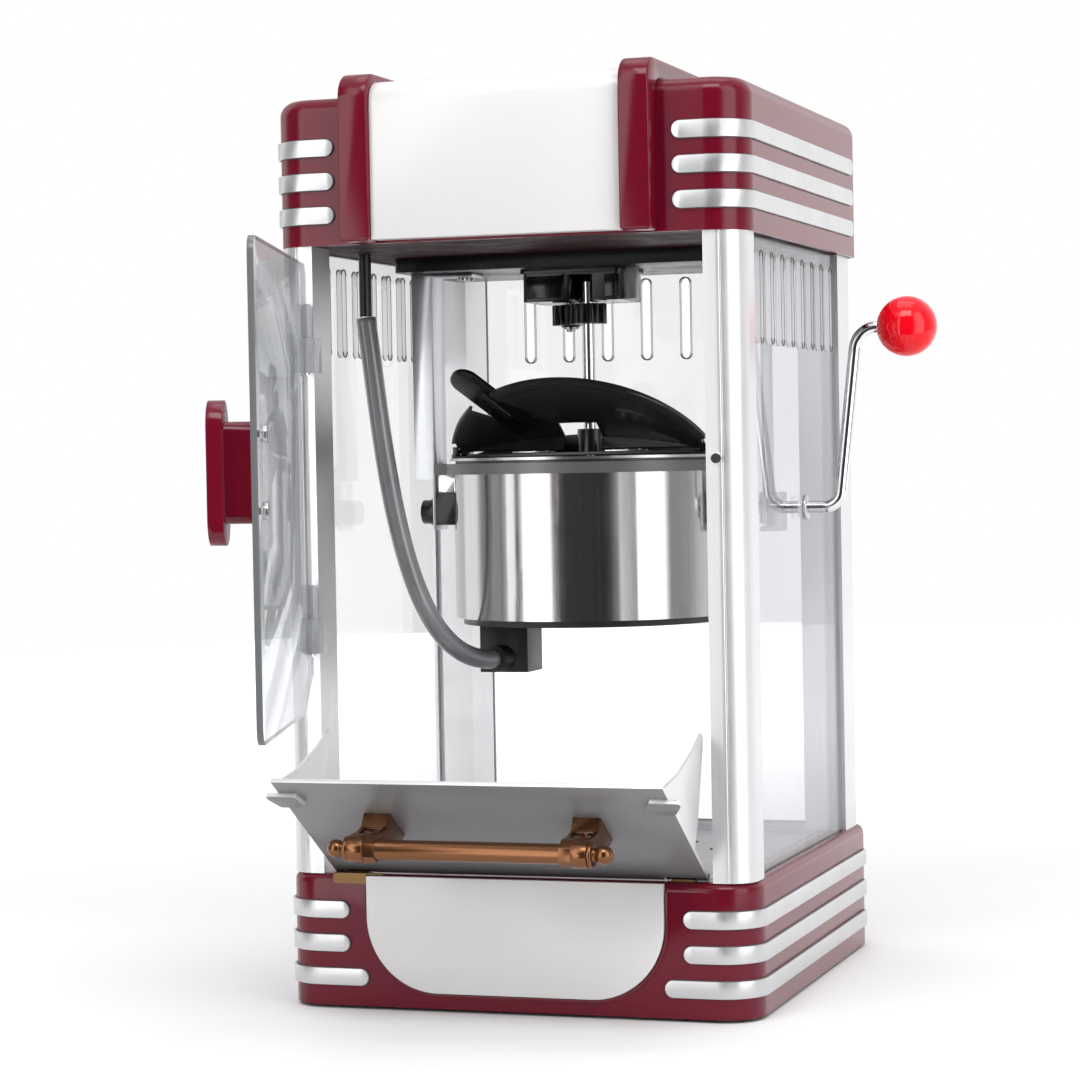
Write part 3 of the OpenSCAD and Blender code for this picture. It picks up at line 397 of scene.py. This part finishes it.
def make_light():
    """Soft studio: tall bright panels to the left and right of the camera, darker gaps between them."""
    w = bpy.data.worlds.new("studio")
    SC.world = w
    w.use_nodes = True
    t = w.node_tree
    t.nodes.clear()

    def add(kind, **kw):
        n = t.nodes.new(kind)
        for k, v in kw.items():
            setattr(n, k, v)
        return n

    out, bg = add("ShaderNodeOutputWorld"), add("ShaderNodeBackground")
    plain, path, pick = add("ShaderNodeBackground"), add("ShaderNodeLightPath"), add("ShaderNodeMixShader")
    plain.inputs[0].default_value = (1, 1, 1, 1)
    t.links.new(path.outputs["Is Camera Ray"], pick.inputs[0])
    t.links.new(bg.outputs[0], pick.inputs[1])
    t.links.new(plain.outputs[0], pick.inputs[2])
    t.links.new(pick.outputs[0], out.inputs[0])
    sep = add("ShaderNodeSeparateXYZ")
    t.links.new(add("ShaderNodeTexCoord").outputs["Generated"], sep.inputs[0])
    neg = add("ShaderNodeMath", operation="MULTIPLY")
    t.links.new(sep.outputs[1], neg.inputs[0])
    neg.inputs[1].default_value = -1
    az = add("ShaderNodeMath", operation="ARCTAN2")
    t.links.new(sep.outputs[0], az.inputs[0])
    t.links.new(neg.outputs[0], az.inputs[1])
    pos = add("ShaderNodeMapRange")
    t.links.new(az.outputs[0], pos.inputs["Value"])
    pos.inputs["From Min"].default_value, pos.inputs["From Max"].default_value = -math.pi, math.pi
    ramp = add("ShaderNodeValToRGB")
    t.links.new(pos.outputs[0], ramp.inputs[0])
    stops = [(-180, 0.9), (-120, 0.9), (-114, 1.5), (-95, 1.5), (-88, 0.35), (-46, 0.14), (-40, 3.6), (-19, 3.6),
             (-15, 0.07), (30, 0.05), (38, 0.35), (47, 3.4), (78, 3.8), (84, 0.55), (104, 0.6), (118, 1.2), (140, 1.5), (172, 1.5), (180, 0.9)]
    top = 4.0
    el = ramp.color_ramp.elements
    for i, (a, v) in enumerate(stops):
        e = el[i] if i < 2 else el.new((a + 180) / 360)
        e.position = (a + 180) / 360
        e.color = (v / top, v / top, v / top, 1)
    up = add("ShaderNodeValToRGB")                       # fades the panels out overhead
    t.links.new(sep.outputs[2], up.inputs[0])
    u = up.color_ramp.elements
    u[0].position, u[0].color = 0.62, (1, 1, 1, 1)
    u[1].position, u[1].color = 0.78, (0, 0, 0, 1)
    mix = add("ShaderNodeMix", data_type="RGBA")
    t.links.new(up.outputs[0], mix.inputs[0])
    mix.inputs[6].default_value = (1.1 / top, 1.1 / top, 1.12 / top, 1)
    t.links.new(ramp.outputs[0], mix.inputs[7])
    t.links.new(mix.outputs[2], bg.inputs[0])
    bg.inputs[1].default_value = top * 0.8
    area("high front", (0.35, -1.5, 2.1), (0, 0, 0.2), (1.6, 0.9), 26)
    area("top", (0.0, 0.1, 1.9), (0, 0, 0.3), (1.2, 0.9), 5)


# ------------------------------------------------------------------ dress
PAINT = {
    "base_shell": "burgundy", "base_front_panel": "white", "base_trim": "silver", "base_bottom_cover": "black",
    "case_screws": "screw", "rubber_feet": "rubber", "cabinet_floor": "floor_sheet", "posts_front": "anodised",
    "posts_rear": "anodised", "window_left": "pane_x", "window_right": "pane_xr", "window_rear": "pane_y",
    "door_catch": "catch", "door_hinge_blocks": "clear_solid", "door_hinge_pins": "screw", "top_shell": "burgundy",
    "roof_panel": "white", "roof_ribs": "burgundy", "top_trim": "silver", "housing_base": "burgundy_shaded_dark",
    "ceiling_pan": "pan", "gear_motor": "screw", "gearbox_housing": "black_gloss", "switch_bezel": "black",
    "cord_gland": "black", "hanger_left": "hanger", "hanger_right": "hanger", "hanger_bush": "clear_solid",
    "pivot_pin": "black_gloss", "tray_hinge_pins": "brass", "kettle_lead": "lead", "lead_sleeve": "sleeve",
    "drive_shaft": "screw", "drive_gear": "gear", "power_switch": "black_gloss", "door_pane": "pane_door",
    "door_hinge_leaves": "clear_solid", "door_knob": "burgundy", "door_knob_screws": "screw", "tray_panel": "tray",
    "tray_stops": "tray", "tray_handle_bar": "bronze", "tray_handle_brackets": "bronze", "tray_handle_screws": "screw",
    "kettle_shell": "kettle", "kettle_pot": "pot", "kettle_rim_plate": "dark", "kettle_base": "black",
    "kettle_brackets": "bright", "kettle_pivot_blocks": "black_gloss", "kettle_plug": "black", "crank_rod": "chrome",
    "crank_ball": "red", "lid_bridge": "lid", "lid_rear": "lid", "lid_front": "lid_flap", "lid_handle": "black_gloss",
    "stir_shaft": "chrome", "stir_gear": "gear", "stir_blade": "bright",
}
SOFT = {
    "base_shell": 0.8, "base_front_panel": 0.35, "base_trim": 0.9, "top_trim": 0.9, "top_shell": 0.5, "roof_panel": 0.5,
    "roof_ribs": 1.4, "ceiling_pan": 0.8, "gearbox_housing": 0.8, "door_knob": 2.2, "tray_panel": 0.3, "tray_stops": 0.3,
    "tray_handle_bar": 0.4, "tray_handle_brackets": 0.5, "kettle_rim_plate": 0.5, "kettle_brackets": 0.4,
    "kettle_pivot_blocks": 0.6, "kettle_plug": 1.0, "lid_handle": 0.4, "posts_front": 0.25, "posts_rear": 0.25,
    "switch_bezel": 0.5, "cord_gland": 0.6, "hanger_left": 0.25, "hanger_right": 0.25, "pivot_pin": 0.5,
    "door_hinge_blocks": 0.4, "door_hinge_leaves": 0.3, "hanger_bush": 0.4, "rubber_feet": 0.5, "stir_gear": 0.15,
    "drive_gear": 0.15, "kettle_pot": 0.25, "kettle_shell": 0.2, "kettle_base": 0.5, "lid_front": 0.25,
    "lid_rear": 0.25, "lid_bridge": 0.25, "cabinet_floor": 0.3, "case_screws": 0.3, "tray_handle_screws": 0.2,
    "door_knob_screws": 0.3, "door_pane": 0.3, "stir_blade": 0.2, "power_switch": 0.3,
}


# ---------------------------------------------------------------- details
def put(name, bm, key, body, smooth=True):
    bmesh.ops.remove_doubles(bm, verts=bm.verts, dist=1e-7)
    bmesh.ops.recalc_face_normals(bm, faces=bm.faces)
    me = bpy.data.meshes.new(name)
    bm.to_mesh(me)
    bm.free()
    for p in me.polygons:
        p.use_smooth = smooth
    o = bpy.data.objects.new(name, me)
    SC.collection.objects.link(o)
    o.data.materials.append(MATS[key].m)
    if body:
        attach(o, body)
    return o


def block(bm, lo, hi, r=0.3, segs=2):
    """Box with rounded edges, corners in millimetres."""
    lo, hi = Vector(lo) * MM, Vector(hi) * MM
    m = Matrix.Translation((lo + hi) / 2) @ Matrix.Diagonal((*(hi - lo), 1))
    g = bmesh.ops.create_cube(bm, size=1, matrix=m)["verts"]
    es = list({e for v in g for e in v.link_edges})
    return bmesh.ops.bevel(bm, geom=es, offset=r * MM, segments=segs, affect="EDGES", profile=0.5)


def turned(bm, c, axis, prof, n=32):
    """Turned form about an axis through c: prof lists (distance along the axis, radius), in millimetres."""
    z = Vector(axis).normalized()
    x = z.orthogonal().normalized()
    y = z.cross(x)
    rows = []
    for h, r in prof:
        o = Vector(c) + z * h
        rows.append([bm.verts.new((o + (x * math.cos(2 * math.pi * i / n) + y * math.sin(2 * math.pi * i / n)) * r) * MM)
                     for i in range(n)])
    for a, b in zip(rows, rows[1:]):
        for i in range(n):
            bm.faces.new((a[i], a[(i + 1) % n], b[(i + 1) % n], b[i]))
    bm.faces.new(rows[0][::-1])
    bm.faces.new(rows[-1])


def tube(bm, pts, r, n=10, closed=False):
    """Round bead that follows points, in millimetres."""
    pts = [Vector(p) for p in pts]
    m = len(pts)
    rows, ref = [], None
    for i, p in enumerate(pts):
        a = pts[(i - 1) % m] if closed or i else p
        b = pts[(i + 1) % m] if closed or i < m - 1 else p
        t = (b - a).normalized()
        if ref is None:
            ref = t.orthogonal().normalized()
        ref = (ref - t * ref.dot(t)).normalized()
        w = t.cross(ref)
        rows.append([bm.verts.new((p + (ref * math.cos(2 * math.pi * k / n) + w * math.sin(2 * math.pi * k / n)) * r) * MM)
                     for k in range(n)])
    for i in range(m if closed else m - 1):
        a, b = rows[i], rows[(i + 1) % m]
        for k in range(n):
            bm.faces.new((a[k], a[(k + 1) % n], b[(k + 1) % n], b[k]))
    if not closed:
        bm.faces.new(rows[0][::-1])
        bm.faces.new(rows[-1])


def plan_point(s, xt, w=123.5, d=132.5, r=20.0, off=0.1):
    """Point at arc length s along the case plan, from x = xt on the front round to the side."""
    a = w - r - xt
    q = math.pi / 2 * r
    if s <= a:
        return xt + s, -d - off
    if s <= a + q:
        t = (s - a) / r
        return w - r + (r + off) * math.sin(t), -d + r - (r + off) * math.cos(t)
    return w + off, -d + r + (s - a - q)


def strip_outline(z, xt, yt, h=4.2, off=0.1):
    a = 123.5 - 20 - xt
    q = math.pi / 2 * 20
    total = a + q + (yt + 132.5 - 20)
    out = []
    n = 60
    for i in range(n + 1):
        out.append((total * i / n, -h))
    for i in range(1, 12):
        t = -math.pi / 2 + math.pi * i / 12
        out.append((total + h * math.cos(t), h * math.sin(t)))
    for i in range(n, -1, -1):
        out.append((total * i / n, h))
    for i in range(1, 12):
        t = math.pi / 2 + math.pi * i / 12
        out.append((h * math.cos(t), h * math.sin(t)))
    res = []
    for s, dz in out:
        x, y = plan_point(s, xt, off=off) if s >= 0 else (xt + s, -132.5 - off)
        res.append((x, y, z + dz))
    return res


def sleeve_path():
    p = [Vector(v) for v in ((-101, -60, 352), (-91, -61, 281.2), (-77.1, -83.4, 169.1), (-49.8, -11.4, 169.1))]
    out = []
    for i in range(41):
        t = i / 40
        out.append(p[0] * (1 - t) ** 3 + p[1] * 3 * t * (1 - t) ** 2 + p[2] * 3 * t * t * (1 - t) + p[3] * t ** 3)
    return out


def make_details():
    # the lead's sleeve, one smooth flexible tube from the ceiling to the kettle's plug
    path = sleeve_path()
    fine = []
    for a, b in zip(path, path[1:]):
        fine += [a, (a + b) / 2]
    fine.append(path[-1])
    bm = bmesh.new()
    tube(bm, fine, 5.2, n=32)
    sl = put("kettle_lead_sleeve", bm, "sleeve", None)
    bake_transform(sl)
    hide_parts("lead_sleeve")
    # dark bead round each strip where it meets the case: painted shade for the gap
    for name, rows in (("strip_shade_lines_base", ((50.2, 91.8, 112.5), (33.2, 91.8, 112.5), (16.2, 82, 112.5))),
                       ("strip_shade_lines_top", ((434.5, 92.5, 103), (417.6, 92.5, 103), (400.6, 92.5, 103)))):
        bm = bmesh.new()
        for z, xt, yt in rows:
            loop = strip_outline(z, xt, yt, h=4.25)
            tube(bm, loop, 0.42, n=8, closed=True)
            tube(bm, [(-x, y, zz) for x, y, zz in loop], 0.42, n=8, closed=True)
        put(name, bm, "line", "root")
    # sawn edges of the vent slots, on the outer faces of the windows
    bm = bmesh.new()

    def slot(c, place, r=3.0, half=20.2):
        rows = []
        for sgn in (1, -1):
            rows.append([place(c + r * math.cos(math.pi * i / 12), 355.2 + sgn * (half + r * math.sin(math.pi * i / 12)))
                         for i in range(13)])
        for row in rows:
            tube(bm, row, 0.33, n=6)
        for k in (0, -1):
            tube(bm, [rows[0][k], rows[1][k]], 0.13, n=6)

    for i in range(8):
        c = 22.1 * (i - 3.5)
        for x in (118.0, 115.0, -118.0, -115.0):
            slot(c, lambda u, z: (x, u, z))
    for i in range(7):
        c = 23.4 * (i - 3)
        for y in (124.0, 121.0):
            slot(c, lambda u, z: (u, y, z))
    put("slot_edges", bm, "slot_edge", "root")
    # hinge plates of the lid's flap, on the fixed bar
    bm = bmesh.new()
    for s in (-1, 1):
        block(bm, (min(s * 14.1, s * 37.7), -10.9, 279.55), (max(s * 14.1, s * 37.7), -6.6, 280.5), 0.25)
        for x in (18.5, 25.9, 33.3):
            turned(bm, (s * x, -8.8, 280.4), (0, 0, 1), ((0, 1.1), (0.35, 1.1), (0.6, 0.7)), 16)
    put("lid_hinge_plates", bm, "bright", "kettle")
    # frame round the gearbox face, and the clear clip beside it
    bm = bmesh.new()
    for x0, x1 in ((-30.4, -10.4), (13.4, 21.6)):
        block(bm, (x0, -3.9, 362.2), (x1, -2.9, 374.2), 0.4)
    block(bm, (-10.2, -4.3, 361.4), (-9.4, -2.9, 375.2), 0.3)
    block(bm, (19.6, -4.5, 361.4), (20.5, -2.9, 375.2), 0.3)
    put("gearbox_face_plates", bm, "black_gloss", "root")
    bm = bmesh.new()
    block(bm, (22.2, 2.0, 360.8), (29.0, 8.0, 377.8), 0.6)
    block(bm, (22.2, 8.2, 360.8), (25.6, 22.0, 366.0), 0.5)
    put("gearbox_wire_clip", bm, "clear_clip", "root")
    # light ring round the door catch, and crown on the crank's keeper
    bm = bmesh.new()
    turned(bm, (107.2, -130.45, 274.9), (0, -1, 0), ((0, 3.1), (0.25, 3.1), (0.45, 2.85), (0.45, 2.3), (0.0, 2.25)), 40)
    put("catch_ring", bm, "bright", "root")
    bm = bmesh.new()
    turned(bm, (117.6, 10, 248.3), (1, 0, 0), ((0, 3.3), (0, 6.2), (0.6, 6.6), (1.4, 6.6), (1.9, 6.1), (1.9, 3.3)), 40)
    put("crank_keeper", bm, "screw", "kettle")
    # clear back plate of the door knob, on the pane's inner face
    bm = bmesh.new()
    a = math.radians(73.6)
    ex, ey = Vector((math.cos(a), -math.sin(a), 0)), Vector((math.sin(a), math.cos(a), 0))
    rows = []
    for depth, grow in ((1.55, 0.0), (2.9, 0.0), (3.3, -0.5)):
        row = []
        for i in range(48):
            t = 2 * math.pi * i / 48
            u = 199 + (8.5 + grow) * math.cos(t)
            z = 272.5 + (26 if math.sin(t) > 0 else -26) + (8.5 + grow) * math.sin(t)
            row.append(bm.verts.new((Vector((-104, -137, 0)) + ex * u + ey * depth + Vector((0, 0, z))) * MM))
        rows.append(row)
    for r0, r1 in zip(rows, rows[1:]):
        for i in range(48):
            bm.faces.new((r0[i], r0[(i + 1) % 48], r1[(i + 1) % 48], r1[i]))
    bm.faces.new(rows[0][::-1])
    bm.faces.new(rows[-1])
    put("knob_back_plate", bm, "boss_clear", "door", smooth=False)


SC.view_settings.view_transform = "Standard"
make_camera()
build_materials()
for n, k in PAINT.items():
    paint(n, k)
for n, w in SOFT.items():
    soften(n, w * MM, 3 if w > 0.7 else 2)
make_details()
make_stage()
make_light()
